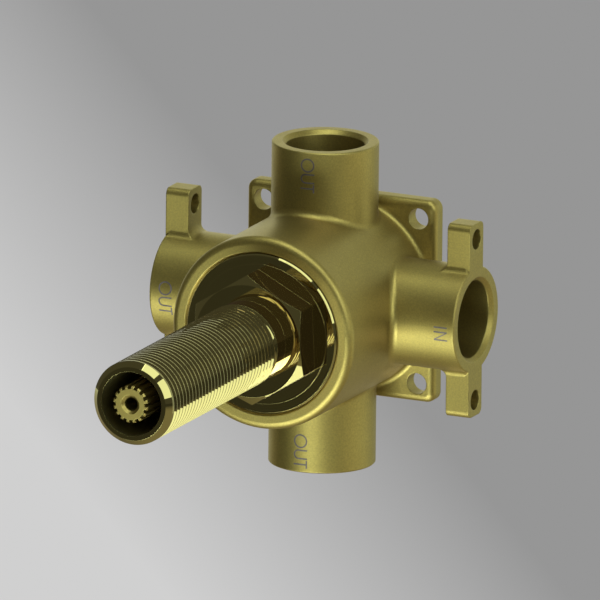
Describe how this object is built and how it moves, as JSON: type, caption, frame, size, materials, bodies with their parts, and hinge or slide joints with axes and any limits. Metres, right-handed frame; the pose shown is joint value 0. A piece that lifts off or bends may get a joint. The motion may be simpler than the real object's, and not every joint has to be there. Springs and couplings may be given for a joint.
{
  "type": "concealed diverter valve",
  "caption": "Brass diverter valve for building into a wall, with a cross of radial pipe ports, a square screw flange, a hexagon bonnet and a long threaded sleeve round a splined spindle.",
  "frame": {"origin": "centre of the flange's back face, on the wall plane and the valve's axis", "axes": "+Y out of the back of the flange into the wall, so the sleeve and spindle point along -Y; +X along the inlet port; +Z along the top outlet port"},
  "size_m": [0.081, 0.1253, 0.08],
  "materials": {
    "forged_brass": "fine blasted, satin",
    "polished_brass": "turned and polished",
    "spindle_brass": "turned, satin",
    "spring_steel": "stamped",
    "white_plastic": "moulded",
    "grey_plastic": "moulded",
    "disc_ceramic": "lapped",
    "seal_rubber": "moulded"
  },
  "bodies": {
    "housing": {"valve_body": "forged_brass", "bonnet": "polished_brass", "bonnet_o_ring": "seal_rubber", "slip_ring": "white_plastic", "thrust_washer": "white_plastic", "fixed_disc": "disc_ceramic", "disc_gasket": "seal_rubber", "cartridge_base": "grey_plastic", "cartridge_shell": "grey_plastic", "shell_o_ring": "seal_rubber", "inlet_seal": "seal_rubber", "top_outlet_seal": "seal_rubber", "left_outlet_seal": "seal_rubber", "bottom_outlet_seal": "seal_rubber"},
    "spindle_set": {"spindle": "spindle_brass", "spindle_o_ring_rear": "seal_rubber", "spindle_o_ring_front": "seal_rubber", "snap_ring": "spring_steel", "disc_carrier": "white_plastic", "moving_disc": "disc_ceramic"}
  },
  "joints": [
    {"name": "spindle_turn", "type": "hinge", "parent": "housing", "child": "spindle_set", "pos_m": [0, 0, 0], "axis": [0, 1, 0], "range_deg": [-90, 90]}
  ]
}
